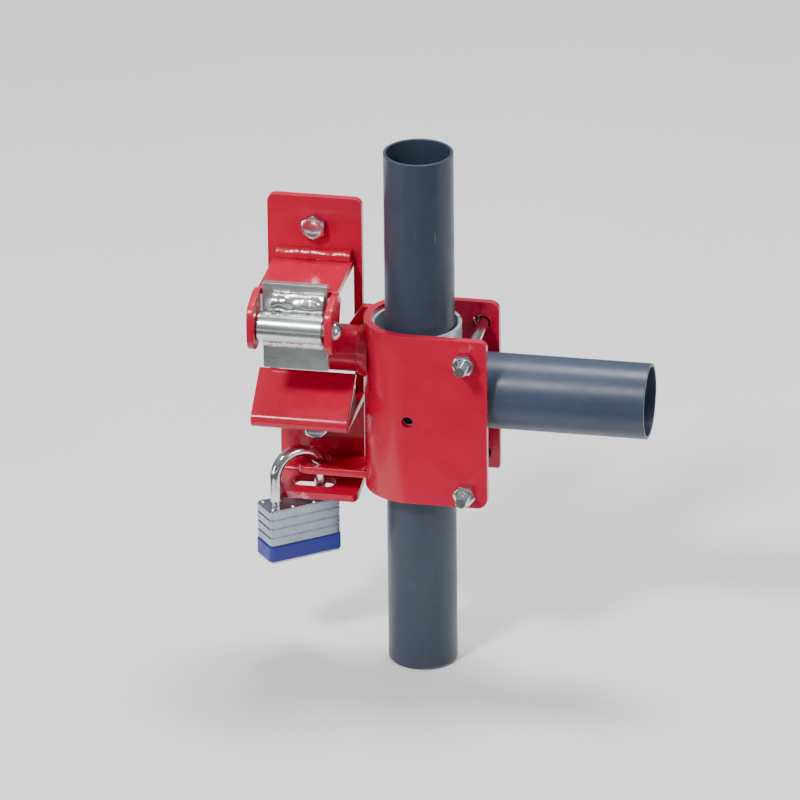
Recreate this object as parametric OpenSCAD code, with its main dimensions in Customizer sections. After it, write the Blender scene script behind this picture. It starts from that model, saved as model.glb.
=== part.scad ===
// Lockable latch end of a tubular livestock gate.
// Frame: X runs along the gate rail, -Y faces the person at the gate, +Z is up.
// Origin: on the rear face of the post plate, midway between the two lag screws.
// Heights below are measured from the plate's own middle; on_datum() moves them to the origin.

/* [Post plate] */
// Width of the post plate
plate_w = 61; // [58:1:62]
// Height of the plate's top edge above its middle
plate_top = 97.5; // [95:0.5:105]
// Thickness of all folded plate
plate_t = 4.8; // [4.6:0.1:5]
// Height of the upper lag screw
lag_z1 = 78; // [76:0.5:80]
// Height of the lower lag screw
lag_z2 = -61; // [-62:0.5:-60]
// Shank diameter of the lag screws
lag_d = 9.5; // [8:0.5:9.5]
// Length of the lag screws under the head
lag_len = 38; // [30:1:60]
// Width of the window between the two catches
window_w = 49.8; // [48:0.2:50]

/* [Upper catch and dog] */
// Height of the upper catch shelf's top face
shelf_z = 57; // [56:0.5:58]
// How far the upper catch reaches in front of the post face
shelf_reach = 59.3; // [59:0.1:59.4]
// Width of the upper catch shelf
shelf_w = 51; // [49:0.5:53]
// Distance from the hinge pin to the post face
pin_y = 74; // [73.9:0.05:74.1]
// Height of the hinge pin
pin_z = 37; // [36:0.5:38]
// Diameter of the hinge pin
pin_d = 7.9; // [7.8:0.05:7.95]
// Outer diameter of the dog's hinge tube
dog_tube_d = 19; // [18.9:0.05:19]
// Length of the dog's hinge tube
dog_tube_l = 41.8; // [38:0.2:42]
// Height of the dog plate
dog_h = 58; // [54:1:59]

/* [Lower catch] */
// Width of the lower catch
catch_w = 62.4; // [58:0.2:63]
// Slope of the lower catch's front plate
catch_slope = 36.7; // [36:0.1:38]

/* [Gate clamp] */
// Lowest level of the clamp strap
clamp_bot = -87.2; // [-89:0.2:-86]
// Highest level of the clamp strap
clamp_top = 28; // [27:0.5:29]
// Inner radius of the clamp's bend
clamp_ri = 28.7; // [28.7:0.1:29]
// Bolt diameter
bolt_d = 7.9; // [7.5:0.1:8]
// Height of the upper clamp bolt
bolt_z1 = 13.9; // [13:0.1:15]
// Height of the lower clamp bolt
bolt_z2 = -76.9; // [-78:0.1:-76]
// Diameter of the locking arm
arm_d = 30; // [28:0.5:30]

/* [Gate tubes] */
// Outer diameter of the upright gate tube
stile_d = 44.4; // [44:0.1:44.5]
// Outer diameter of the gate rail
rail_d = 48.3; // [46:0.1:48.4]
// Wall of the gate tubes
tube_wall = 2.0; // [1.6:0.1:3]
// Right end of the rail section
rail_end = 219; // [160:1:400]
// Top of the upright section
stile_top = 142; // [80:1:300]
// Bottom of the upright section
stile_bot = -207; // [-400:1:-120]

/* [Padlock] */
// Width of the padlock body
lock_w = 50; // [49:0.5:51]
// Depth of the padlock body
lock_d = 21; // [21:0.5:22]
// Shackle rod diameter
shackle_d = 7.9; // [7.5:0.1:8]
// Distance between the shackle legs' centres
shackle_s = 31.6; // [31.5:0.1:32]
// Turn of the padlock about the vertical
lock_turn = 38; // [34:0.5:42]

/* [Hidden] */

red = [0.78, 0.12, 0.2];
zinc = [0.72, 0.74, 0.72];
gate_grey = [0.24, 0.29, 0.36];
steel = [0.6, 0.61, 0.62];
blue = [0.22, 0.25, 0.62];

datum = (lag_z1 + lag_z2) / 2;
// upper catch
shelf_bot = shelf_z - plate_t;
ear_xi = 22.5;
dog_y = pin_y - dog_tube_d / 2 - plate_t;      // rear face of the dog plate from the post
dog_z1 = 62.4;
dog_z0 = dog_z1 - dog_h;
// lower catch
catch_rc = 3.0;                                 // centreline radius of the fold
catch_fy = -57;
catch_fz = -34.9;
catch_len = 34.7;
// lock shelf
shelf_tilt = 10;
bend_ri = 3;
bend_zc = -90.5;
lockshelf_len = 23.1;
// clamp
clamp_ro = clamp_ri + plate_t;
ux = 68.8;
uy = -22.5;
front_end = 120;
rear_end = 116.5;
bolt_x = 106.1;
// tubes
stile_x = 71.6;
stile_y = -25.6;
rail_z = -17.9;
// arm
arm_y = uy;
arm_z = 2.9;
arm_x0 = -24;
// lock
leg_x = 3.8;
leg_y = -16;
lock_z = -104.5;
arch_z = 18.4;

module on_datum() translate([0, 0, -datum]) children();
module along_x(l, c = false) rotate([90, 0, 90]) linear_extrude(l, center = c) children();
// a straight shaft along X
module bar_x(d, x0, x1, y, z) translate([x0, y, z]) rotate([0, 90, 0]) cylinder(d = d, h = x1 - x0, $fn = 96);
// a straight shaft along Y
module bar_y(d, y0, y1, x, z) translate([x, y0, z]) rotate([-90, 0, 0]) cylinder(d = d, h = y1 - y0, $fn = 64);
module hex_y(af, y0, y1, x, z, turn = 0) translate([x, y0, z]) rotate([-90, 0, 0]) rotate([0, 0, turn]) cylinder(d = af / cos(30), h = y1 - y0, $fn = 6);
// points on an arc about c, from angle a0 to a1
function arc(c, r, a0, a1, n = 12) = [for (i = [0:n]) let (a = a0 + (a1 - a0) * i / n) c + r * [cos(a), sin(a)]];
// box with rounded vertical edges, centred in X and Y, from z0 to z1
module rbox(w, d, z0, z1, r) translate([0, 0, z0]) linear_extrude(z1 - z0) rrect(w, d, r);
module rrect(w, d, r) {
    square([w, d - 2 * r], center = true);
    square([w - 2 * r, d], center = true);
    for (i = [-1, 1], j = [-1, 1]) translate([i * (w / 2 - r), j * (d / 2 - r)]) circle(r = r, $fn = 48);
}
// places a child in the padlock's own frame: origin at the middle of its top face
module at_lock() translate([leg_x, leg_y, lock_z]) rotate([0, 0, lock_turn]) translate([-shackle_s / 2, 0, 0]) children();

// ---- post bracket ----
module plate_profile() {
    c = [-plate_t - bend_ri, bend_zc];
    u = [-cos(shelf_tilt), -sin(shelf_tilt)];
    out = arc(c, bend_ri + plate_t, 0, shelf_tilt - 90);
    in = arc(c, bend_ri, shelf_tilt - 90, 0);
    polygon(concat([[-plate_t, plate_top], [0, plate_top]], out,
        [out[len(out) - 1] + lockshelf_len * u, in[0] + lockshelf_len * u], in));
}
module plate_outline() {
    // seen from the front: rounded top corners, left side set back below the lower catch
    h0 = -60;
    translate([-plate_w / 2, -44]) square([plate_w, plate_top + 44 - 5]);
    translate([-plate_w / 2 + 5, -44]) square([plate_w - 10, plate_top + 44]);
    for (s = [-1, 1]) translate([s * (plate_w / 2 - 5), plate_top - 5]) circle(r = 5, $fn = 48);
    translate([-24, -120]) square([24 + plate_w / 2, 77]);
}
module shelf_outline() {
    // seen from above: the lock shelf with its clipped left end and rounded right corner
    r = 8;
    translate([-60, -2 * plate_t]) square([120, 2 * plate_t + 1]);
    intersection() {
        union() {
            translate([-40, -60]) square([40 + plate_w / 2 - r, 60]);
            translate([-40, -31.5 + r]) square([40 + plate_w / 2, 40]);
            translate([plate_w / 2 - r, -31.5 + r]) circle(r = r, $fn = 48);
        }
        translate([leg_x, leg_y]) union() {
            circle(r = 26, $fn = 128);
            translate([0, -40]) square([60, 80]);
        }
    }
}
module back_plate() color(red) on_datum() difference() {
    intersection() {
        translate([-60, 0, 0]) along_x(120) plate_profile();
        translate([0, 20, 0]) rotate([90, 0, 0]) linear_extrude(80) plate_outline();
        translate([0, 0, -130]) linear_extrude(260) shelf_outline();
    }
    translate([-window_w / 2, -20, -35.8]) cube([window_w, 40, shelf_bot + 35.8 - 0.6]);
    for (z = [lag_z1, lag_z2]) bar_y(lag_d + 0.1, -20, 10, 0, z);
    // slot for the padlock's shackle
    translate([0, -16.25, -120]) linear_extrude(40) union() {
        square([16.5, 11.5], center = true);
        for (s = [-1, 1]) translate([s * 8.25, 0]) circle(d = 11.5, $fn = 48);
    }
}
module catch_shelf() color(red) on_datum()
    translate([-shelf_w / 2, -shelf_reach, shelf_bot]) cube([shelf_w, shelf_reach - plate_t, plate_t]);
module ear() difference() {
    rotate([90, 0, 90]) linear_extrude(plate_t) difference() {
        hull() {
            translate([-76.2, 33]) circle(r = 10.6, $fn = 48);
            translate([-77.4, 45.5]) circle(r = 9.6, $fn = 48);
            translate([-67.5, 51.2]) circle(r = 6.6, $fn = 32);
            translate([-62, 50]) square([6.5, 6.8]);
            translate([-63, 39]) circle(r = 3, $fn = 24);
        }
        // seat against the shelf's nose and underside
        translate([-shelf_reach, shelf_bot]) square([20, 20]);
    }
    translate([-1, -pin_y, pin_z]) rotate([0, 90, 0]) cylinder(d = pin_d + 0.1, h = plate_t + 2, $fn = 64);
}
module left_ear() color(red) on_datum() translate([-ear_xi - plate_t, 0, 0]) ear();
module right_ear() color(red) on_datum() translate([ear_xi, 0, 0]) ear();
// raised bead along the root of the upper catch
module shelf_weld() color(red) on_datum() intersection() {
    difference() {
        bar_x(15.6, -24.2, 24.2, -plate_t, shelf_z);
        translate([-40, -plate_t, 0]) cube([80, 40, 120]);
        translate([-40, -60, -20]) cube([80, 80, shelf_z + 20]);
    }
    translate([-40, -plate_t, shelf_z]) rotate([0, 0, 0]) translate([0, -7, 0]) cube([80, 7, 5.8]);
}
module catch_profile() {
    c = [catch_fy, catch_fz];
    v = [cos(catch_slope), sin(catch_slope)];
    n = [-sin(catch_slope), cos(catch_slope)];
    ri = catch_rc - plate_t / 2;
    ro = catch_rc + plate_t / 2;
    polygon(concat([[-plate_t, catch_fz - ri], [-plate_t, catch_fz - ro]], arc(c, ro, 270, 90 + catch_slope, 16),
        [c + (catch_len - 1.2) * v + ro * n, c + catch_len * v + (ro - 1.2) * n,
         c + catch_len * v + (ri + 1.2) * n, c + (catch_len - 1.2) * v + ri * n],
        arc(c, ri, 90 + catch_slope, 270, 6)));
}
module lower_catch() color(red) on_datum() translate([-catch_w / 2, 0, 0]) along_x(catch_w) catch_profile();
// bead under the root of the lower catch
module catch_weld() color(red) on_datum() difference() {
    bar_x(9, -27, 27, -plate_t, catch_fz - catch_rc - plate_t / 2);
    translate([-40, -plate_t, -80]) cube([80, 40, 120]);
    translate([-40, -60, catch_fz - catch_rc - plate_t / 2]) cube([80, 80, 60]);
}
module lag_screw(z) {
    hex_y(14.3, -plate_t - 6.2, -plate_t, 0, z, 30);
    // plain neck through the plate, then the threaded part's full diameter
    bar_y(lag_d - 0.4, -plate_t - 1, 1.6, 0, z);
    bar_y(lag_d, 1.5, lag_len - plate_t - 7, 0, z);
    translate([0, lag_len - plate_t - 7, z]) rotate([-90, 0, 0]) cylinder(d1 = lag_d, d2 = 1.5, h = 7, $fn = 48);
}
module lag_screws() color(zinc) on_datum() { lag_screw(lag_z1); lag_screw(lag_z2); }
module pivot_pin() color(zinc) on_datum() {
    xo = ear_xi + plate_t;
    // domed head, from its rim to its crown
    dome = [for (t = [72:-9:0]) [6.2 * sin(t), xo - 1.7 + 6.2 * cos(t)]];
    translate([0, -pin_y, pin_z]) rotate([0, 90, 0]) rotate_extrude($fn = 96) polygon(concat(
        // low peened end on the left, domed head on the right
        [[0, -xo - 1.3], [3.6, -xo - 1.2], [5, -xo - 0.5], [5, -xo], [pin_d / 2, -xo], [pin_d / 2, xo], [5.9, xo]], dome));
}

// ---- dog ----
module dog_plate() color(zinc) on_datum()
    translate([-21.5, -dog_y - plate_t, dog_z0]) cube([41.8, plate_t, dog_h]);
module dog_tube() color(zinc) on_datum() difference() {
    bar_x(dog_tube_d, -21.9, -21.9 + dog_tube_l, -pin_y, pin_z);
    bar_x(pin_d + 0.14, -30, 30, -pin_y, pin_z);
}
module dog_bead(d, z, x0, x1, yo) difference() {
    bar_x(d, x0, x1, -dog_y - plate_t - yo, z);
    translate([-40, -dog_y - plate_t, 0]) cube([80, 40, 120]);
    bar_x(dog_tube_d, -40, 40, -pin_y, pin_z);
}
module dog_upper_weld() color(zinc) on_datum() dog_bead(13, 50.2, -14.5, 19, 1.8);
module dog_lower_weld() color(zinc) on_datum() dog_bead(11, 25.4, -20, 18.5, 0.6);

// ---- gate end ----
module u_plan() {
    difference() {
        union() {
            translate([ux, uy]) circle(r = clamp_ro, $fn = 160);
            translate([ux, uy - clamp_ro]) square([front_end - ux, plate_t]);
            translate([ux, uy + clamp_ri]) square([rear_end - ux, plate_t]);
        }
        translate([ux, uy]) circle(r = clamp_ri, $fn = 160);
        translate([ux, uy - clamp_ri]) square([80, 2 * clamp_ri]);
    }
}
// flange outline in the XZ plane with rounded free corners
module flange_outline(x1, rt, rb) {
    translate([0, clamp_bot]) square([x1 - max(rt, rb), clamp_top - clamp_bot]);
    translate([x1 - 20, clamp_bot + rb]) square([20, clamp_top - clamp_bot - rb - rt]);
    translate([x1 - rt, clamp_top - rt]) circle(r = rt, $fn = 48);
    translate([x1 - rb, clamp_bot + rb]) circle(r = rb, $fn = 48);
    translate([x1 - 20, clamp_bot]) square([20 - rb, 20]);
    translate([x1 - 20, clamp_top - 20]) square([20 - rt, 20]);
}
module clamp_strap() color(red) on_datum() difference() {
    intersection() {
        translate([0, 0, clamp_bot]) linear_extrude(clamp_top - clamp_bot) u_plan();
        union() {
            translate([0, uy, 0]) rotate([90, 0, 0]) linear_extrude(60) flange_outline(front_end, 4.5, 6.5);
            translate([0, uy + 60, 0]) rotate([90, 0, 0]) linear_extrude(60) flange_outline(rear_end, 6, 2);
        }
    }
    for (z = [bolt_z1, bolt_z2]) {
        bar_y(bolt_d + 0.1, -70, uy, bolt_x, z);
        hull() for (s = [-2.4, 0.4]) translate([bolt_x + s, uy, z]) rotate([-90, 0, 0]) cylinder(d = bolt_d + 1, h = 50, $fn = 32);
    }
    bar_y(7.6, -70, uy, ux, -31);
}
module clamp_sleeve() color(zinc) on_datum() difference() {
    translate([ux, uy, clamp_bot + 1.5]) cylinder(r = clamp_ri, h = clamp_top - clamp_bot - 5, $fn = 128);
    translate([ux, uy, clamp_bot - 1]) cylinder(r = clamp_ri - 2, h = 200, $fn = 128);
    bar_x(rail_d + 1.6, ux, ux + 60, stile_y, rail_z);
    // drilled through with the strap's small hole
    bar_y(7.6, -70, uy, ux, -31);
    // split
    translate([ux, uy, 0]) rotate([0, 0, 24]) translate([10, -1.5, -150]) cube([40, 3, 300]);
}
module clamp_bolt(z) {
    hex_y(12.7, uy + clamp_ro, uy + clamp_ro + 5.4, bolt_x, z);
    bar_y(bolt_d, -72.6, uy + clamp_ro + 1, bolt_x, z);
}
module clamp_bolts() color(zinc) on_datum() { clamp_bolt(bolt_z1); clamp_bolt(bolt_z2); }
module clamp_nut(z) difference() {
    intersection() {
        hex_y(12.7, uy - clamp_ro - 6.8, uy - clamp_ro, bolt_x, z, 30);
        translate([bolt_x, uy - clamp_ro + 6.4, z]) sphere(r = 14.6, $fn = 96);
    }
    bar_y(bolt_d + 0.1, -90, 0, bolt_x, z);
}
module clamp_nuts() color(zinc) on_datum() { clamp_nut(bolt_z1); clamp_nut(bolt_z2); }
module locking_arm() color(red) on_datum() difference() {
    bar_x(arm_d, arm_x0, 44, arm_y, arm_z);
    translate([ux, uy, -60]) cylinder(r = clamp_ro, h = 120, $fn = 160);
}
// web between the top of the arm and the clamp
module arm_gusset() color(red) on_datum() difference() {
    translate([0, -8, 0]) rotate([90, 0, 0]) linear_extrude(6) polygon([[22.5, 10], [22.5, 14], [31.5, 28], [44, 28], [44, 10]]);
    translate([ux, uy, -60]) cylinder(r = clamp_ro, h = 120, $fn = 160);
    bar_x(arm_d, arm_x0, 60, arm_y, arm_z);
}
module arm_weld() color(red) on_datum() difference() {
    translate([31.2, arm_y, arm_z]) rotate([0, 90, 0]) cylinder(r1 = arm_d / 2, r2 = arm_d / 2 + 5, h = 9, $fn = 96);
    translate([ux, uy, -60]) cylinder(r = clamp_ro, h = 120, $fn = 160);
    bar_x(arm_d, arm_x0, 60, arm_y, arm_z);
    translate([0, -14, 10]) cube([80, 6, 60]);
}
module lock_tab() color(red) on_datum() difference() {
    translate([0, 0, -84.3]) linear_extrude(plate_t) difference() {
        union() {
            translate([-2.2, -30]) square([48, 23.4]);
            translate([-8.2, -24]) square([40, 11.4]);
            for (y = [-24, -12.6]) translate([-2.2, y]) circle(r = 6, $fn = 48);
        }
        translate([ux, uy]) circle(r = clamp_ro, $fn = 160);
    }
    translate([leg_x, leg_y, -100]) cylinder(d = 14.4, h = 60, $fn = 64);
}
module tab_weld() color(red) on_datum() difference() {
    translate([ux, uy, -79.5]) rotate_extrude($fn = 160) polygon([[clamp_ro, 0], [clamp_ro + 3, 0], [clamp_ro, 3]]);
    translate([40.5, -80, -100]) cube([90, 120, 60]);
    translate([0, -80, -100]) cube([60, 51, 60]);
    translate([0, -8, -100]) cube([60, 60, 60]);
}
module gate_stile() color(gate_grey) on_datum() difference() {
    translate([stile_x, stile_y, stile_bot]) cylinder(d = stile_d, h = stile_top - stile_bot, $fn = 128);
    translate([stile_x, stile_y, stile_bot - 1]) cylinder(d = stile_d - 2 * tube_wall, h = stile_top - stile_bot + 2, $fn = 128);
}
module gate_rail() color(gate_grey) on_datum() difference() {
    bar_x(rail_d, stile_x + 8, rail_end, stile_y, rail_z);
    bar_x(rail_d - 2 * tube_wall, stile_x, rail_end + 1, stile_y, rail_z);
    translate([stile_x, stile_y, rail_z - 40]) cylinder(d = stile_d, h = 80, $fn = 128);
}

// ---- padlock ----
module lock_shackle() color([0.75, 0.76, 0.78]) on_datum() at_lock() difference() {
    union() {
        for (s = [-1, 1]) translate([s * shackle_s / 2, 0, s > 0 ? -12 : -22]) cylinder(d = shackle_d, h = arch_z + (s > 0 ? 12 : 22), $fn = 64);
        translate([0, 0, arch_z]) rotate([90, 0, 0]) rotate_extrude(angle = 180, $fn = 128) translate([shackle_s / 2, 0]) circle(d = shackle_d, $fn = 64);
    }
    // notches for the locking bolts
    for (s = [-1, 1]) translate([s * (shackle_s / 2 - shackle_d / 2), 0, -9.1]) cube([2.8, 9, 3.4], center = true);
}
module leg_holes(z0) for (s = [-1, 1]) translate([s * shackle_s / 2, 0, z0]) cylinder(d = shackle_d + 0.3, h = 60, $fn = 48);
module rivet_pattern() for (s = [-1, 1], k = [-1, 1]) {
    translate([s * 21.4, k * 7.2, 0]) children();
    translate([s * 7.4, k * 7.9, 0]) children();
}
module lock_plates() color([0.68, 0.7, 0.7]) on_datum() at_lock() difference() {
    for (i = [0:4]) let (z1 = -6.15 * i, inset = i == 4 ? 1.4 : 0) {
        rbox(lock_w - inset, lock_d - inset, z1 - (i == 4 ? 9.9 : 6.0) + 0.7, z1 - 0.7, 2.4);
        rbox(lock_w - inset - 1.2, lock_d - inset - 1.2, z1 - (i == 4 ? 9.9 : 6.0), z1, 2);
    }
    translate([shackle_s / 2, 0, -12.3]) cylinder(d = shackle_d + 0.3, h = 30, $fn = 48);
    translate([-shackle_s / 2, 0, -22.6]) cylinder(d = shackle_d + 0.3, h = 40, $fn = 48);
    // chamber of the locking bolts and of the plug's cam
    translate([0, 0, -9.1]) cube([28, 7.4, 5.6], center = true);
    translate([0, 0, -60]) cylinder(d = 14.2, h = 48.1, $fn = 64);
    translate([0, 0, -30]) cylinder(d = 7.6, h = 24, $fn = 48);
    translate([0, 0, -60]) rivet_pattern() cylinder(d = 3.2, h = 90, $fn = 32);
}
module lock_rivets() color([0.7, 0.71, 0.72]) on_datum() at_lock() rivet_pattern() {
    translate([0, 0, -34.2]) cylinder(d = 3, h = 34.5, $fn = 32);
    translate([0, 0, 0.05]) cylinder(d1 = 4.4, d2 = 3, h = 0.9, $fn = 32);
}
module lock_bumper() color(blue) on_datum() at_lock() difference() {
    union() {
        rbox(lock_w + 1.0, lock_d + 1.0, -35.0, -25.4, 3.2);
        rbox(lock_w + 0.2, lock_d + 0.2, -35.2, -24.8, 2.8);
    }
    rbox(lock_w - 1.2, lock_d - 1.2, -34.6, -20, 2.2);
    translate([0, 0, -60]) cylinder(d = 14.6, h = 50, $fn = 64);
}
module lock_base() color(steel) on_datum() at_lock() difference() {
    rbox(lock_w - 0.4, lock_d - 0.4, -36.5, -35.3, 2.4);
    translate([0, 0, -60]) cylinder(d = 14.6, h = 50, $fn = 64);
}
module lock_cylinder() color([0.72, 0.6, 0.3]) on_datum() at_lock() difference() {
    translate([0, 0, -36.3]) cylinder(d = 14, h = 24.1, $fn = 64);
    translate([0, 0, -40]) cylinder(d = 10.1, h = 40, $fn = 64);
}
module lock_plug() color([0.75, 0.63, 0.33]) on_datum() at_lock() {
    difference() {
        translate([0, 0, -36.1]) cylinder(d = 10, h = 23.7, $fn = 64);
        translate([-0.8, -3.6, -40]) cube([1.6, 7.2, 22]);
        translate([-0.8, -3.6, -40]) cube([2.6, 1.6, 22]);
    }
    intersection() {
        translate([0, 0, -13]) cylinder(r = 3, h = 6, $fn = 48);
        translate([-5, -1.5, -14]) cube([10, 3, 8]);
    }
}
module lock_bolt() translate([4.4, -3, -10.5]) cube([8.65, 6, 2.8]);
module right_bolt() color(steel) on_datum() at_lock() lock_bolt();
module left_bolt() color(steel) on_datum() at_lock() mirror([1, 0, 0]) lock_bolt();

back_plate();
catch_shelf();
left_ear();
right_ear();
shelf_weld();
lower_catch();
catch_weld();
lag_screws();
pivot_pin();
dog_plate();
dog_tube();
dog_upper_weld();
dog_lower_weld();
clamp_strap();
clamp_sleeve();
clamp_bolts();
clamp_nuts();
locking_arm();
arm_gusset();
arm_weld();
lock_tab();
tab_weld();
gate_stile();
gate_rail();
lock_shackle();
lock_plates();
lock_rivets();
lock_bumper();
lock_base();
lock_cylinder();
lock_plug();
left_bolt();
right_bolt();
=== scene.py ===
import bpy
import math
from mathutils import Vector, Matrix, noise


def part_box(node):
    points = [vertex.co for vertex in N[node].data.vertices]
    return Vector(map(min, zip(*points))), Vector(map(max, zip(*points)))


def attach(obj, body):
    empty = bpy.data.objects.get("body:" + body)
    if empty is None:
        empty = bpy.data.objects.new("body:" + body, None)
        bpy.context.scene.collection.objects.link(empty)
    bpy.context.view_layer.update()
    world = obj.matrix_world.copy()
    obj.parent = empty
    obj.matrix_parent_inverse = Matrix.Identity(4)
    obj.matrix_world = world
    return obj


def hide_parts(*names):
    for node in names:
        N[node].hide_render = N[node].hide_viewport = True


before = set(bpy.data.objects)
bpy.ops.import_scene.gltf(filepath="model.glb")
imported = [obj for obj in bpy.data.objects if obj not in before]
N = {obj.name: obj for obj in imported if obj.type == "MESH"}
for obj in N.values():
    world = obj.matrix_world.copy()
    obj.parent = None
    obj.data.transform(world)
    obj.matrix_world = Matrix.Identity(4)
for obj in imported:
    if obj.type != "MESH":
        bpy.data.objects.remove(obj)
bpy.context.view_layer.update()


MM = 0.001

# ---------------------------------------------------------------- camera
YAW, PITCH, ROLL = math.radians(11.5928), math.radians(24.4818), math.radians(-0.6434)
fwd = Vector((-math.sin(YAW) * math.cos(PITCH), math.cos(YAW) * math.cos(PITCH), -math.sin(PITCH)))
right = Vector((math.cos(YAW), math.sin(YAW), 0))
up = right.cross(fwd)
eye = -fwd * 5.969361 + right * 0.051868 + up * (-0.127328)
eye.z += 0.08496
r2 = right * math.cos(ROLL) + up * math.sin(ROLL)
u2 = -right * math.sin(ROLL) + up * math.cos(ROLL)
cam_data = bpy.data.cameras.new("main_camera")
cam_data.lens = 9441.69 * 36.0 / 800.0
cam_data.sensor_width = 36.0
cam_data.clip_start = 0.1
cam_data.clip_end = 60
cam = bpy.data.objects.new("main_camera", cam_data)
rot = Matrix((r2, u2, -fwd)).transposed().to_4x4()
cam.matrix_world = Matrix.Translation(eye) @ rot
bpy.context.scene.collection.objects.link(cam)
bpy.context.scene.camera = cam


# ---------------------------------------------------------------- materials
class Mat:
    """A node material with short ways to add the usual pieces."""

    def __init__(self, name):
        self.m = bpy.data.materials.new(name)
        self.m.use_nodes = True
        self.t = self.m.node_tree
        self.b = self.t.nodes["Principled BSDF"]
        self.co = self.t.nodes.new("ShaderNodeTexCoord").outputs["Object"]

    def n(self, kind, **props):
        x = self.t.nodes.new(kind)
        for k, v in props.items():
            setattr(x, k, v)
        return x

    def l(self, a, b):
        self.t.links.new(a, b)

    def scaled(self, s):
        x = self.n("ShaderNodeMapping")
        x.inputs["Scale"].default_value = s
        self.l(self.co, x.inputs["Vector"])
        return x.outputs["Vector"]

    def noise(self, scale, detail=4, rough=0.55, stretch=None, dist=0.0):
        x = self.n("ShaderNodeTexNoise")
        x.inputs["Scale"].default_value = scale
        x.inputs["Detail"].default_value = detail
        x.inputs["Roughness"].default_value = rough
        x.inputs["Distortion"].default_value = dist
        self.l(self.scaled(stretch) if stretch else self.co, x.inputs["Vector"])
        return x.outputs["Fac"]

    def voronoi(self, scale, feature="F1"):
        x = self.n("ShaderNodeTexVoronoi", feature=feature)
        x.inputs["Scale"].default_value = scale
        self.l(self.co, x.inputs["Vector"])
        return x

    def ramp(self, fac, stops):
        x = self.n("ShaderNodeValToRGB")
        e = x.color_ramp.elements
        while len(e) < len(stops):
            e.new(0.5)
        for i, (p, c) in enumerate(stops):
            e[i].position = p
            e[i].color = (c[0], c[1], c[2], 1) if isinstance(c, (tuple, list)) else (c, c, c, 1)
        self.l(fac, x.inputs["Fac"])
        return x.outputs["Color"]

    def mix(self, fac, a, b, blend="MIX"):
        x = self.n("ShaderNodeMix", data_type="RGBA", blend_type=blend)
        for v, i in ((fac, 0), (a, 6), (b, 7)):
            if isinstance(v, (int, float)):
                x.inputs[i].default_value = v if i == 0 else (v, v, v, 1)
            elif isinstance(v, (tuple, list)):
                x.inputs[i].default_value = (v[0], v[1], v[2], 1)
            else:
                self.l(v, x.inputs[i])
        return x.outputs[2]

    def math(self, op, a, b=0.0, clamp=False):
        x = self.n("ShaderNodeMath", operation=op, use_clamp=clamp)
        for i, v in enumerate((a, b)):
            if isinstance(v, (int, float)):
                x.inputs[i].default_value = v
            else:
                self.l(v, x.inputs[i])
        return x.outputs[0]

    def edge(self, radius):
        """1 on sharp edges, 0 on flat faces."""
        bev = self.n("ShaderNodeBevel", samples=4)
        bev.inputs["Radius"].default_value = radius
        geo = self.n("ShaderNodeNewGeometry")
        d = self.n("ShaderNodeVectorMath", operation="DOT_PRODUCT")
        self.l(bev.outputs["Normal"], d.inputs[0])
        self.l(geo.outputs["Normal"], d.inputs[1])
        return self.math("SUBTRACT", 1.0, d.outputs["Value"], clamp=True)

    def bump(self, layers):
        """layers: (height socket, strength, distance)"""
        last = None
        for h, strength, dist in layers:
            x = self.n("ShaderNodeBump")
            x.inputs["Strength"].default_value = strength
            x.inputs["Distance"].default_value = dist
            self.l(h, x.inputs["Height"])
            if last:
                self.l(last, x.inputs["Normal"])
            last = x.outputs["Normal"]
        self.l(last, self.b.inputs["Normal"])

    def put(self, name, v):
        s = self.b.inputs[name]
        if isinstance(v, (int, float)):
            s.default_value = v
        elif isinstance(v, (tuple, list)):
            s.default_value = (v[0], v[1], v[2], 1)
        else:
            self.l(v, s)


def red_paint(name, worn=0.5, peel=1.0):
    m = Mat(name)
    big = m.noise(14, 3)
    mid = m.noise(60, 4)
    base = m.ramp(big, [(0.3, (0.45, 0.0008, 0.027)), (0.7, (0.53, 0.0014, 0.034))])
    dust = m.ramp(mid, [(0.55, 0.0), (0.8, 1.0)])
    base = m.mix(m.math("MULTIPLY", dust, 0.06), base, (0.58, 0.06, 0.11))
    e = m.edge(0.0012)
    chip = m.ramp(m.noise(260, 5, 0.7), [(0.56, 0.0), (0.64, 1.0)])
    wear = m.math("MULTIPLY", m.ramp(e, [(0.06, 0.0), (0.25, 1.0)]), chip)
    wear = m.math("MULTIPLY", wear, worn)
    # painted edge highlight: every edge is mixed about a third of the way to a light pink, partly rubbed paint
    # and partly the glint of light along the edges
    rub_and_edge_highlight = m.math("MULTIPLY", m.ramp(e, [(0.02, 0.0), (0.30, 1.0)]), 0.35)
    base = m.mix(rub_and_edge_highlight, base, (0.74, 0.10, 0.16))
    speck = m.ramp(m.voronoi(210).outputs["Distance"], [(0.03, 1.0), (0.07, 0.0)])
    speck = m.math("MULTIPLY", speck, m.ramp(m.noise(24, 2), [(0.60, 0.0), (0.68, 1.0)]))
    base = m.mix(m.math("MULTIPLY", speck, 0.5), base, (0.16, 0.02, 0.02))
    m.put("Base Color", m.mix(wear, base, (0.30, 0.27, 0.25)))
    m.put("Roughness", m.mix(wear, m.ramp(mid, [(0.3, 0.24), (0.75, 0.36)]), 0.6))
    m.put("Metallic", m.math("MULTIPLY", wear, 0.5))
    m.put("Coat Weight", 0.45)
    m.put("Coat Roughness", 0.10)
    m.put("Specular IOR Level", 0.30)
    m.bump([(m.noise(420, 2), 0.10 * peel, 0.0006), (m.noise(45, 2), 0.10, 0.0012), (m.math("SUBTRACT", 1.0, wear), 0.25, 0.0002)])
    return m.m


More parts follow.
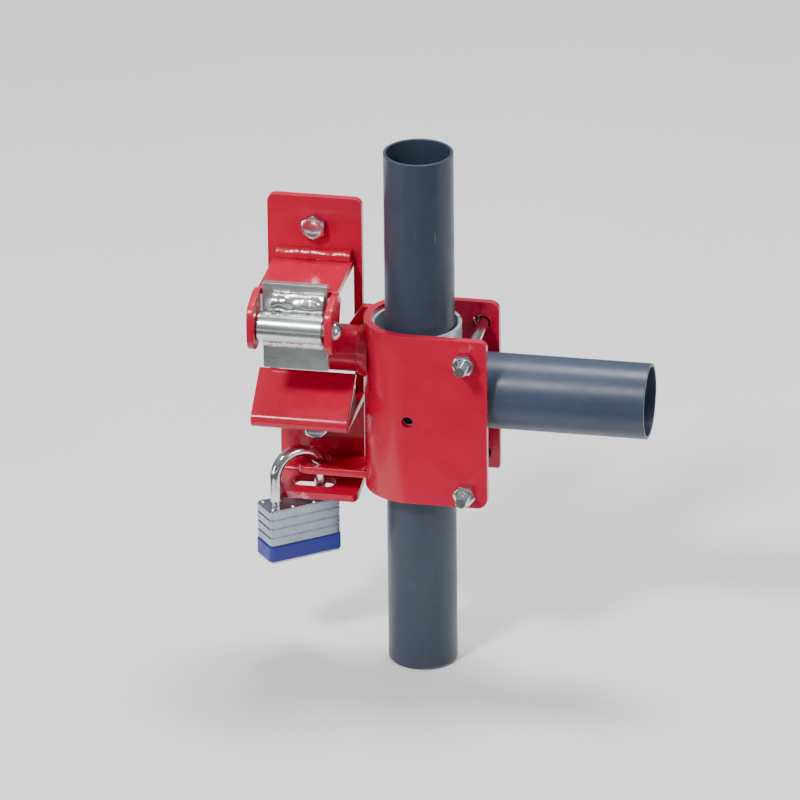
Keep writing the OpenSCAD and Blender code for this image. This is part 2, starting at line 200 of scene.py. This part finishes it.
def zinc(name, tint=(0.60, 0.65, 0.65), rough=(0.22, 0.42), lump=0.25, fine=300, metallic=0.88):
    m = Mat(name)
    cloud = m.noise(38, 4, 0.6)
    c = m.ramp(cloud, [(0.3, tuple(0.74 * t for t in tint)), (0.7, tint)])
    yellow = m.ramp(m.noise(22, 3), [(0.45, 0.0), (0.8, 1.0)])
    c = m.mix(m.math("MULTIPLY", yellow, 0.12), c, (0.60, 0.58, 0.46))
    stain = m.ramp(m.noise(90, 5, 0.7), [(0.60, 0.0), (0.75, 1.0)])
    c = m.mix(m.math("MULTIPLY", stain, 0.35), c, (0.20, 0.20, 0.19))
    m.put("Base Color", c)
    m.put("Metallic", metallic)
    m.put("Roughness", m.ramp(m.noise(70, 5, 0.65), [(0.3, rough[0]), (0.75, rough[1])]))
    m.bump([(m.noise(fine, 3), 0.15, 0.0003), (m.noise(50, 3), lump, 0.0010)])
    return m.m


def gate_paint(name, axis, k=1.0):
    m = Mat(name)
    long = (1, 1, 0.08) if axis == "z" else (0.08, 1, 1)
    # k scales the whole colour: k above 1 gives a lighter copy of the same paint, painted light for a part that
    # catches more light
    c = m.ramp(m.noise(9, 3), [(0.3, tuple(k * v for v in (0.026, 0.038, 0.064))), (0.7, tuple(k * v for v in (0.034, 0.049, 0.083)))])
    dust = m.ramp(m.noise(130, 5, 0.7), [(0.5, 0.0), (0.8, 1.0)])
    c = m.mix(m.math("MULTIPLY", dust, 0.16), c, (0.09, 0.10, 0.12))
    scratch = m.ramp(m.noise(330, 3, 0.5, long, 0.4), [(0.70, 0.0), (0.735, 1.0)])
    sparse = m.ramp(m.noise(11, 2), [(0.52, 0.0), (0.64, 1.0)])
    scratch = m.math("MULTIPLY", scratch, sparse)
    c = m.mix(m.math("MULTIPLY", scratch, 0.6), c, (0.24, 0.26, 0.28))
    m.put("Base Color", c)
    m.put("Roughness", m.ramp(m.noise(80, 4), [(0.3, 0.30), (0.75, 0.44)]))
    m.put("Specular IOR Level", 0.42)
    m.bump([(m.noise(500, 2), 0.08, 0.0004), (m.noise(35, 2), 0.10, 0.0012), (scratch, 0.15, 0.0001)])
    return m.m


def steel(name, col, rough, brushed=None, metallic=1.0, dirt=0.4):
    m = Mat(name)
    c = m.ramp(m.noise(60, 4), [(0.3, tuple(0.78 * v for v in col)), (0.7, col)])
    grime = m.ramp(m.noise(150, 5, 0.7), [(0.58, 0.0), (0.8, 1.0)])
    c = m.mix(m.math("MULTIPLY", grime, dirt), c, tuple(0.35 * v for v in col))
    m.put("Base Color", c)
    m.put("Metallic", metallic)
    m.put("Roughness", m.ramp(m.noise(90, 4), [(0.3, rough[0]), (0.75, rough[1])]))
    lines = m.noise(420, 3, 0.6, brushed) if brushed else m.noise(500, 3)
    m.bump([(lines, 0.22, 0.00025), (m.noise(70, 2), 0.08, 0.0006)])
    return m.m


def plastic(name, col):
    m = Mat(name)
    c = m.ramp(m.noise(40, 4), [(0.3, tuple(0.82 * v for v in col)), (0.7, col)])
    scuff = m.ramp(m.noise(170, 5, 0.7), [(0.6, 0.0), (0.8, 1.0)])
    c = m.mix(m.math("MULTIPLY", scuff, 0.25), c, tuple(min(1, 0.25 + v) for v in col))
    m.put("Base Color", c)
    m.put("Roughness", m.ramp(m.noise(120, 3), [(0.3, 0.38), (0.75, 0.55)]))
    m.bump([(m.noise(600, 2), 0.12, 0.0003), (scuff, 0.1, 0.0001)])
    return m.m


RED = red_paint("red_paint")
RED_WELD = red_paint("red_weld_paint", 0.2, 1.6)
ZINC = zinc("zinc_sheet")
ZINC_TUBE = zinc("zinc_tube", (0.74, 0.79, 0.79), (0.20, 0.32), 0.10, 300, 1.0)
# painted reflection: the sleeve is light blue and only half metallic, so its inner wall shows bright in shade,
# standing in for the reflected sky
SLEEVE = steel("sleeve_zinc_painted_reflection", (0.72, 0.78, 0.86), (0.25, 0.40), metallic=0.45, dirt=0.5)
ZINC_WELD = zinc("zinc_weld", (0.76, 0.79, 0.75), (0.14, 0.32), 0.12, 220, 1.0)
ZINC_BOLT = zinc("zinc_hardware", (0.74, 0.77, 0.82), (0.10, 0.24), 0.06, 420, 1.0)
STILE = gate_paint("gate_paint_upright", "z")
# painted light: the rail gets the upright's paint made 1.3 times lighter
RAIL = gate_paint("gate_paint_rail_lit_copy", "x", 1.3)
CHROME = steel("chrome", (0.74, 0.75, 0.76), (0.04, 0.12), dirt=0.12)
LAMINATE = steel("laminated_steel", (0.42, 0.47, 0.55), (0.24, 0.40), (1, 1, 0.1), dirt=0.35)
BASE = steel("lock_base_steel", (0.60, 0.61, 0.62), (0.25, 0.4), dirt=0.3)
BRASS = steel("brass", (0.66, 0.50, 0.22), (0.2, 0.36), dirt=0.4)
BLUE = plastic("blue_plastic", (0.022, 0.030, 0.29))


def dress(o, mat):
    o.data.materials.clear()
    o.data.materials.append(mat)


def rounded(name, mat, width, seg=2, angle=38):
    """A CAD node with its finish and softened edges."""
    o = N[name]
    dress(o, mat)
    for a in [a.name for a in o.data.attributes if a.name == "custom_normal"]:
        o.data.attributes.remove(o.data.attributes[a])
    for p in o.data.polygons:
        p.use_smooth = True
    w = o.modifiers.new("weld", "WELD")
    w.merge_threshold = 0.000004
    if width:
        b = o.modifiers.new("bevel", "BEVEL")
        b.width = width
        b.segments = seg
        b.limit_method = "ANGLE"
        b.angle_limit = math.radians(angle)
        b.use_clamp_overlap = True
        b.harden_normals = False
        b.miter_outer = "MITER_ARC"
    e = o.modifiers.new("sharp", "EDGE_SPLIT")
    e.split_angle = math.radians(50)
    wn = o.modifiers.new("normals", "WEIGHTED_NORMAL")
    wn.weight = 80
    wn.keep_sharp = True
    return o


# ---------------------------------------------------------------- mesh pieces
def mesh_piece(name, verts, faces, mat, smooth=35):
    me = bpy.data.meshes.new(name)
    me.from_pydata([tuple(v) for v in verts], [], faces)
    me.update()
    for p in me.polygons:
        p.use_smooth = True
    me.set_sharp_from_angle(angle=math.radians(smooth))
    o = bpy.data.objects.new(name, me)
    bpy.context.scene.collection.objects.link(o)
    dress(o, mat)
    return o


def rings(rows):
    """Faces between closed rings of points, with the first and last ring capped."""
    verts, faces = [], []
    n = len(rows[0])
    for r in rows:
        verts.extend(r)
    for i in range(len(rows) - 1):
        for j in range(n):
            k = (j + 1) % n
            faces.append((i * n + j, i * n + k, (i + 1) * n + k, (i + 1) * n + j))
    faces.append(tuple(range(n - 1, -1, -1)))
    last = (len(rows) - 1) * n
    faces.append(tuple(range(last, last + n)))
    return verts, faces


def place(p, origin):
    """Local Z of a fastener is -Y of the part, so that its end faces the viewer."""
    return (origin[0] * MM + p[0], origin[1] * MM - p[2], origin[2] * MM + p[1])


def hex_rows(af, z0, z1, turn, cham0=0.0, cham1=0.85, hole=None, face=None):
    """Rings of a hexagon with a coned end. Lengths in mm."""
    ang = sorted(set([round(i * 5.0, 4) for i in range(72)]))

    def rad(a):
        m = (a % 60.0) - 30.0
        return af / 2 / math.cos(math.radians(m))

    rc = af / 2 * 0.95

    def ring(f, z):
        out = []
        for a in ang:
            r = f(rad(a))
            zz = z(rad(a)) if callable(z) else z
            t = math.radians(a + turn)
            out.append((r * math.cos(t) * MM, r * math.sin(t) * MM, zz * MM))
        return out

    rows = []
    if hole:
        rows.append(ring(lambda r: hole, z0 + 0.6))
        rows.append(ring(lambda r: hole + 0.5, z0))
    rows.append(ring(lambda r: rc if cham0 else r * 0.985, z0))
    if cham0:
        rows.append(ring(lambda r: r, lambda r: z0 + max(0.05, (r - rc) * 0.58)))
    else:
        rows.append(ring(lambda r: r, z0 + 0.15))
    rows.append(ring(lambda r: r, lambda r: z1 - max(0.05, (r - rc) * 0.58)))
    rows.append(ring(lambda r: rc, z1))
    if hole:
        rows.append(ring(lambda r: hole + 0.6, z1))
        rows.append(ring(lambda r: hole, z1 - 0.6))
    elif face:
        rows.append(ring(lambda r: rc * 0.80, z1))
        rows.append(ring(lambda r: rc * 0.76, z1 - 0.18))
        rows.append(ring(lambda r: rc * 0.2, z1 - 0.22))
    return rows


def thread_rows(r, z0, z1, pitch, depth, lead=1.0, taper=0.0, per=10, n=40):
    """Rings of a helical thread from z0 to z1, thinning over the last taper mm. Lengths in mm."""
    rows = []
    steps = max(4, int((z1 - z0) / pitch * per))
    for i in range(steps + 1):
        z = z0 + (z1 - z0) * i / steps
        row = []
        for j in range(n):
            a = 2 * math.pi * j / n
            f = (z / pitch - j / n) % 1.0
            tri = 1 - abs(2 * f - 1)
            d = depth * (1 - tri) * min(1.0, (z - z0) / (1.5 * pitch) + 0.02)
            rr = r - d
            if taper and z > z1 - taper:
                rr *= max(0.12, (z1 - z) / taper)
            elif not taper and z > z1 - lead:
                rr = min(rr, r - (z - z1 + lead) * 0.9)
            row.append((rr * math.cos(a) * MM, rr * math.sin(a) * MM, z * MM))
        rows.append(row)
    return rows


def shaft_rows(r, z0, z1, n=40):
    return [[(r * math.cos(2 * math.pi * j / n) * MM, r * math.sin(2 * math.pi * j / n) * MM, z * MM) for j in range(n)] for z in (z0, z1)]


class Group:
    """Several closed shells in one mesh."""

    def __init__(self):
        self.v, self.f = [], []

    def add(self, rows, origin, flip=False, closed=False):
        v, f = rings(rows) if not closed else ring_loop(rows)
        k = len(self.v)
        self.v.extend(place(p, origin) for p in v)
        for q in f:
            q = tuple(i + k for i in q)
            self.f.append(q[::-1] if flip else q)

    def make(self, name, mat, smooth=35):
        return mesh_piece(name, self.v, self.f, mat, smooth)


def ring_loop(rows):
    """Like rings(), but the last ring joins the first, for a body with a hole."""
    verts, faces = [], []
    n = len(rows[0])
    for r in rows:
        verts.extend(r)
    m = len(rows)
    for i in range(m):
        h = (i + 1) % m
        for j in range(n):
            k = (j + 1) % n
            faces.append((i * n + j, i * n + k, h * n + k, h * n + j))
    return verts, faces


BOLT_X, BZ = 106.1, (5.4, -85.4)
LAG_Z = (69.5, -69.5)

g = Group()
for z, tw in zip(LAG_Z, (30, 38)):
    o = (0, -4.8, z)
    g.add(hex_rows(14.3, 0.0, 6.2, tw, face=True), o)
    g.add(shaft_rows(4.7, -12, 1), o)
    # thread runs from the shank to the point, seen from the point's end
    rows = thread_rows(4.7, 11.5, 38, 2.9, 1.1, taper=8, per=12)
    g.add([[(p[0], p[1], -p[2]) for p in r] for r in rows], o, flip=True)
lag = g.make("lag_screws_threaded", ZINC_BOLT)
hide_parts("lag_screws")
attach(lag, "post_bracket")

g = Group()
for z, tw in zip(BZ, (12, 41)):
    o = (BOLT_X, 0, z)
    g.add([[(p[0], p[1], p[2]) for p in r] for r in hex_rows(12.7, -16.4, -11.0, tw, cham0=1.0)], o)
    g.add(shaft_rows(3.93, -12.0, 36.0), o)
    g.add(thread_rows(3.9, 35.0, 72.6, 1.41, 0.62, lead=0.9), o)
bolts = g.make("clamp_bolts_threaded", ZINC_BOLT)
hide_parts("clamp_bolts")
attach(bolts, "gate_end")

g = Group()
for z, tw in zip(BZ, (4, -8)):
    o = (BOLT_X, 0, z)
    g.add(hex_rows(12.7, 56.0, 62.8, tw, cham0=1.0, hole=3.6), o, closed=True)
nuts = g.make("clamp_nuts_chamfered", ZINC_BOLT)
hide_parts("clamp_nuts")
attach(nuts, "gate_end")


def lumpy(node, body, mat, voxel, amp, size, ripple=0.0, pitch=2.4, axis=0, seed=0.0):
    """A weld bead with lumps and ripples, grown from the CAD bead."""
    src = N[node]
    mod = src.modifiers.new("grow", "REMESH")
    mod.mode = "VOXEL"
    mod.voxel_size = voxel * 1.0
    dg = bpy.context.evaluated_depsgraph_get()
    me = bpy.data.meshes.new_from_object(src.evaluated_get(dg))
    src.modifiers.remove(mod)
    me.name = node + "_bead"
    me.update()
    lo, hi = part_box(node)
    mid = (lo + hi) / 2
    moves = []
    for v in me.vertices:
        c = v.co
        s = c / (size * MM) + Vector((seed, seed * 1.7, -seed))
        d = noise.noise(s) * amp + noise.noise(s * 2.3) * amp * 0.22
        if ripple:
            off = ((c[1] - mid[1]) ** 2 + (c[2] - mid[2]) ** 2) ** 0.5 * 0.35
            if axis == 0:
                w = (c[0] + off * 0.8) / (pitch * MM)
            else:
                w = math.atan2(c[1] + 0.0225, c[2] + 0.0056) * 6.5
            d += ripple * (abs(math.sin(math.pi * w)) - 0.6)
        moves.append(v.normal * d * MM)
    for v, m in zip(me.vertices, moves):
        v.co += m
    me.update()
    for p in me.polygons:
        p.use_smooth = True
    o = bpy.data.objects.new(node + "_bead", me)
    bpy.context.scene.collection.objects.link(o)
    dress(o, mat)
    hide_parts(node)
    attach(o, body)
    return o


lumpy("dog_upper_weld", "dog", ZINC_WELD, 0.00045, 0.9, 6.5, 0.03, 5.0, seed=6.4)
lumpy("dog_lower_weld", "dog", ZINC_WELD, 0.0004, 0.5, 2.8, 0.2, 3.2, seed=5.7)
lumpy("shelf_weld", "post_bracket", RED_WELD, 0.0005, 0.35, 7.0, 0.07, 3.4, seed=1.3)
lumpy("catch_weld", "post_bracket", RED_WELD, 0.0005, 0.4, 3.0, 0.3, 2.8, seed=8.1)
lumpy("arm_weld", "gate_end", RED_WELD, 0.00055, 0.35, 6.0, 0.08, 3.0, axis=1, seed=2.2)
lumpy("tab_weld", "gate_end", RED_WELD, 0.0004, 0.3, 2.4, 0.0, seed=4.4)

# ---------------------------------------------------------------- CAD nodes carried over
for name, w in {"back_plate": 0.0007, "catch_shelf": 0.0006, "left_ear": 0.0008, "right_ear": 0.0008, "lower_catch": 0.0006,
                "clamp_strap": 0.0007, "locking_arm": 0.0009, "arm_gusset": 0.0006, "lock_tab": 0.0007}.items():
    rounded(name, RED, w)
rounded("dog_plate", ZINC, 0.0006)
rounded("dog_tube", ZINC_TUBE, 0.0006)
rounded("pivot_pin", ZINC_BOLT, 0)
rounded("clamp_sleeve", SLEEVE, 0.0003)
rounded("gate_stile", STILE, 0.0003)
rounded("gate_rail", RAIL, 0.0003)
rounded("lock_shackle", CHROME, 0)
rounded("lock_plates", LAMINATE, 0.0005, 3)
rounded("lock_rivets", LAMINATE, 0.0002)
rounded("lock_bumper", BLUE, 0.0005)
rounded("lock_base", BASE, 0.0003)
rounded("lock_cylinder", BRASS, 0.0003)
rounded("lock_plug", BRASS, 0.0002)
rounded("left_bolt", BASE, 0.0003)
rounded("right_bolt", BASE, 0.0003)


# ---------------------------------------------------------------- stage
def quad(name, pts, mat):
    o = mesh_piece(name, pts, [tuple(range(len(pts)))], mat)
    return o


fl = Mat("floor_paper")
fl.put("Base Color", fl.ramp(fl.noise(3, 2), [(0.3, (0.83, 0.83, 0.83)), (0.7, (0.86, 0.86, 0.86))]))
fl.put("Roughness", 0.9)
fl.put("Specular IOR Level", 0.1)
quad("floor", [(-9, -9, -0.2175), (9, -9, -0.2175), (9, 9, -0.2175), (-9, 9, -0.2175)], fl.m)


cd = Mat("grey_card")
cd.put("Base Color", cd.ramp(cd.noise(4, 2), [(0.3, (0.055, 0.06, 0.055)), (0.7, (0.07, 0.075, 0.07))]))
cd.put("Roughness", 0.9)
quad("grey_card_front", [(-0.9, -1.3, -0.2165), (1.2, -1.3, -0.2165), (1.2, -0.06, -0.2165), (-0.9, -0.48, -0.2165)], cd.m)


quad("grey_card_left", [(-0.9, -0.46, -0.2160), (-0.19, -0.42, -0.2160), (-0.34, 0.30, -0.2160), (-0.9, 0.30, -0.2160)], cd.m)


def area(name, loc, target, size, power, col=(1, 1, 1)):
    d = bpy.data.lights.new(name, "AREA")
    d.shape = "RECTANGLE"
    d.size, d.size_y = size
    d.energy = power
    d.color = col
    o = bpy.data.objects.new(name, d)
    o.location = loc
    o.rotation_euler = (Vector(target) - Vector(loc)).to_track_quat("-Z", "Y").to_euler()
    bpy.context.scene.collection.objects.link(o)
    return o


area("key", (-0.7, -1.7, 1.9), (0.03, -0.03, -0.03), (0.4, 0.4), 60, (1, 0.98, 0.95))
area("fill", (1.9, -1.5, 0.7), (0.03, -0.03, -0.03), (0.8, 0.8), 14, (0.93, 0.97, 1))
area("top", (0.25, 0.5, 1.9), (0.05, -0.03, 0), (0.9, 0.5), 44)
area("low", (-1.6, -1.2, 0.15), (0, -0.03, -0.03), (0.5, 0.8), 10)

w = bpy.data.worlds.new("studio")
bpy.context.scene.world = w
w.use_nodes = True
nt = w.node_tree
bg = nt.nodes["Background"]
tc = nt.nodes.new("ShaderNodeTexCoord")
sep = nt.nodes.new("ShaderNodeSeparateXYZ")
rp = nt.nodes.new("ShaderNodeValToRGB")
nt.links.new(tc.outputs["Generated"], sep.inputs[0])
nt.links.new(sep.outputs["Z"], rp.inputs["Fac"])
rp.color_ramp.elements[0].position = 0.0
rp.color_ramp.elements[0].color = (0.30, 0.32, 0.30, 1)
rp.color_ramp.elements[1].position = 0.45
rp.color_ramp.elements[1].color = (0.95, 0.97, 1.0, 1)
nt.links.new(rp.outputs["Color"], bg.inputs["Color"])
bg.inputs["Strength"].default_value = 0.42
